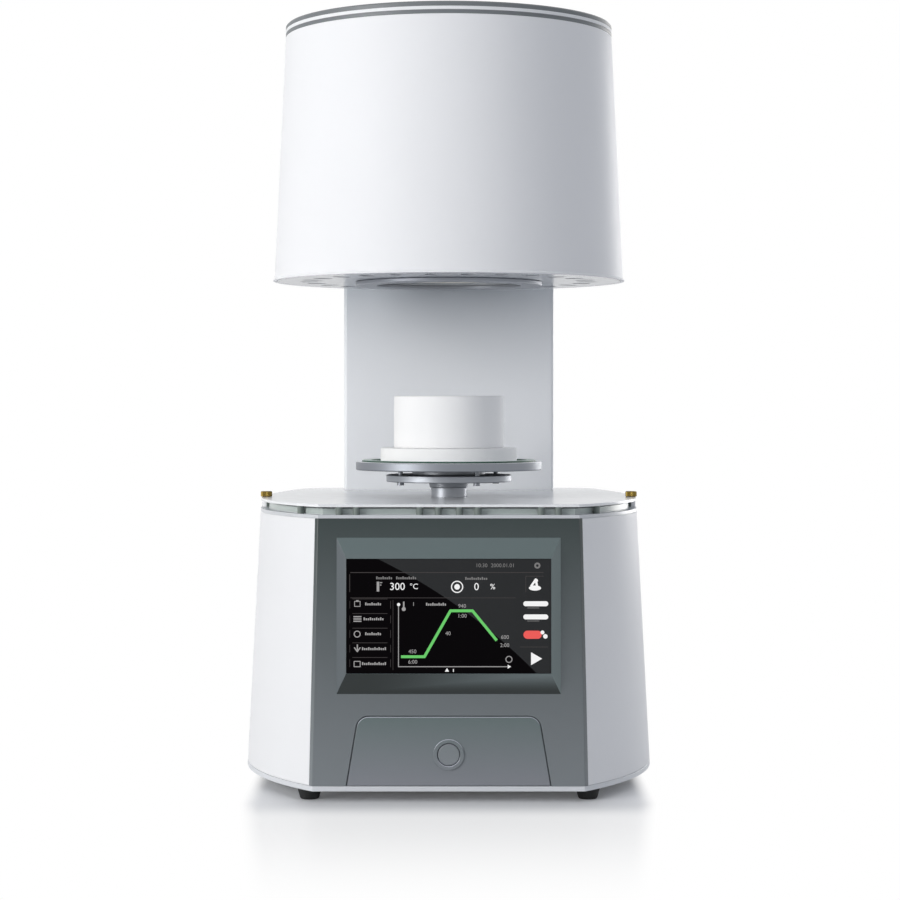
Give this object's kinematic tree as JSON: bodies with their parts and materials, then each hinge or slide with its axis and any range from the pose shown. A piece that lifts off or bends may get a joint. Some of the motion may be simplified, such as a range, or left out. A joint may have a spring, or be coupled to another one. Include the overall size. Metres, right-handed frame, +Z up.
{
  "type": "dental furnace",
  "caption": "Benchtop vacuum furnace for dental ceramics: tapered base with touch screen, screw-driven firing tray and a round heating head on a rear column.",
  "frame": {"origin": "on the table, below the middle of the furnace's bounding box", "axes": "+Z up, -Y out of the front with the screen, +X to the right as seen from the front"},
  "size_m": [0.3284, 0.387, 0.6073],
  "materials": {
    "pan_paint": "satin pale grey powder coat",
    "rubber_black": "matt black",
    "white_paint": "smooth satin white paint",
    "panel_paint": "satin grey-green paint",
    "bezel_paint": "satin grey-green paint",
    "screen_glass": "glossy black cover glass, lit display",
    "insert_paint": "satin grey paint",
    "button_ring_metal": "anodised grey",
    "button_cap": "matt grey",
    "rear_paint": "satin grey powder coat",
    "inlet_plastic": "matt black",
    "outlet_plastic": "matt black",
    "switch_plastic": "matt black",
    "rocker_plastic": "glossy black",
    "nipple_metal": "turned, nickel plated",
    "pipe_copper": "drawn copper tube",
    "fan_plastic": "matt black",
    "fan_blade_plastic": "matt black",
    "guard_wire": "plated steel wire",
    "frame_paint": "satin pale grey paint",
    "spacer_white": "white moulded",
    "deck_paint": "smooth satin white paint",
    "thumb_screw_brass": "knurled brass",
    "bush_bronze": "turned bronze",
    "lift_plate": "milled",
    "ground_steel": "ground and polished",
    "screw_steel": "rolled thread",
    "pulley_metal": "turned",
    "motor_case": "black motor case",
    "belt_rubber": "black toothed belt",
    "board_green": "green circuit board",
    "supply_case": "folded sheet",
    "shaft_steel": "ground and polished",
    "flange_steel": "turned steel",
    "screw_plated": "plated",
    "tray_steel": "turned and brushed steel",
    "seal_green": "dark green silicone",
    "refractory": "white pressed fibre ceramic",
    "column_paint": "smooth satin cool white paint",
    "post_steel": "zinc plated steel",
    "head_paint": "smooth satin white paint",
    "under_paint": "satin grey paint",
    "vessel_steel": "spun steel",
    "fibre_white": "pressed ceramic fibre",
    "quartz": "fused quartz",
    "coil_wire": "oxidised resistance wire",
    "probe_ceramic": "ceramic sheath",
    "ring_dark": "satin dark grey",
    "ring_white": "satin white",
    "cap_dark": "satin dark grey"
  },
  "bodies": {
    "furnace": {"base_pan": "pan_paint", "rubber_feet": "rubber_black", "base_shell": "white_paint", "front_panel": "panel_paint", "screen_bezel": "bezel_paint", "touch_screen": "screen_glass", "lower_panel": "insert_paint", "button_ring": "button_ring_metal", "rear_panel": "rear_paint", "mains_inlet": "inlet_plastic", "pump_socket": "outlet_plastic", "main_switch": "switch_plastic", "vacuum_nipple": "nipple_metal", "vacuum_pipe": "pipe_copper", "fan_frame": "fan_plastic", "fan_guard": "guard_wire", "top_frame": "frame_paint", "deck_spacers": "spacer_white", "deck_plate": "deck_paint", "brass_screws": "thumb_screw_brass", "shaft_bush": "bush_bronze", "lift_base": "lift_plate", "lift_top": "lift_plate", "guide_rods": "ground_steel", "lift_motor": "motor_case", "drive_belt": "belt_rubber", "control_board": "board_green", "power_supply": "supply_case", "column_cover": "column_paint", "column_back": "column_paint", "column_posts": "post_steel", "head_bracket": "post_steel", "head_saddle": "column_paint", "head_shell": "head_paint", "under_plate": "under_paint", "chamber_flange": "flange_steel", "vacuum_vessel": "vessel_steel", "insulation": "fibre_white", "quartz_liner": "quartz", "heating_coil": "coil_wire", "thermocouple": "probe_ceramic", "dark_ring": "ring_dark", "white_ring": "ring_white", "top_cap": "cap_dark"},
    "lift_tray": {"lift_shaft": "shaft_steel", "lift_carriage": "lift_plate", "guide_bushes": "bush_bronze", "lift_nut": "bush_bronze", "shaft_flange": "flange_steel", "flange_screws": "screw_plated", "tray_plate": "tray_steel", "seal_ring": "seal_green", "table_disc": "refractory", "firing_block": "refractory"},
    "drive_screw": {"lead_screw": "screw_steel", "screw_pulley": "pulley_metal"},
    "motor_rotor": {"motor_pulley": "pulley_metal"},
    "start_button": {"power_button": "button_cap"},
    "rocker": {"switch_rocker": "rocker_plastic"},
    "fan": {"fan_rotor": "fan_blade_plastic"}
  },
  "joints": [
    {"name": "tray_lift", "type": "slide", "parent": "furnace", "child": "lift_tray", "axis": [0, 0, 1], "range_m": [0, 0.1417]},
    {"name": "screw_spin", "type": "hinge", "parent": "furnace", "child": "drive_screw", "pos_m": [0, 0.01902, 0.1], "axis": [0, 0, 1], "range_deg": [-8510, 0]},
    {"name": "motor_spin", "type": "hinge", "parent": "furnace", "child": "motor_rotor", "pos_m": [0, 0.07402, 0.02], "axis": [0, 0, 1], "range_deg": [-8510, 0]},
    {"name": "button_press", "type": "slide", "parent": "furnace", "child": "start_button", "axis": [0, 0.9992, -0.0389], "range_m": [0, 0.0025], "stiffness_N_per_m": 800, "springref_m": -0.001},
    {"name": "switch_rock", "type": "hinge", "parent": "furnace", "child": "rocker", "pos_m": [0, 0.17352, 0.045], "axis": [1, 0, 0], "range_deg": [-20, 0]},
    {"name": "fan_spin", "type": "hinge", "parent": "furnace", "child": "fan", "pos_m": [0, 0.16402, 0.118], "axis": [0, 1, 0], "continuous": true}
  ],
  "couplings": [
    {"joint": "screw_spin", "follows": "tray_lift", "rad_per_m": -1047.2},
    {"joint": "motor_spin", "follows": "tray_lift", "rad_per_m": -1047.2}
  ]
}
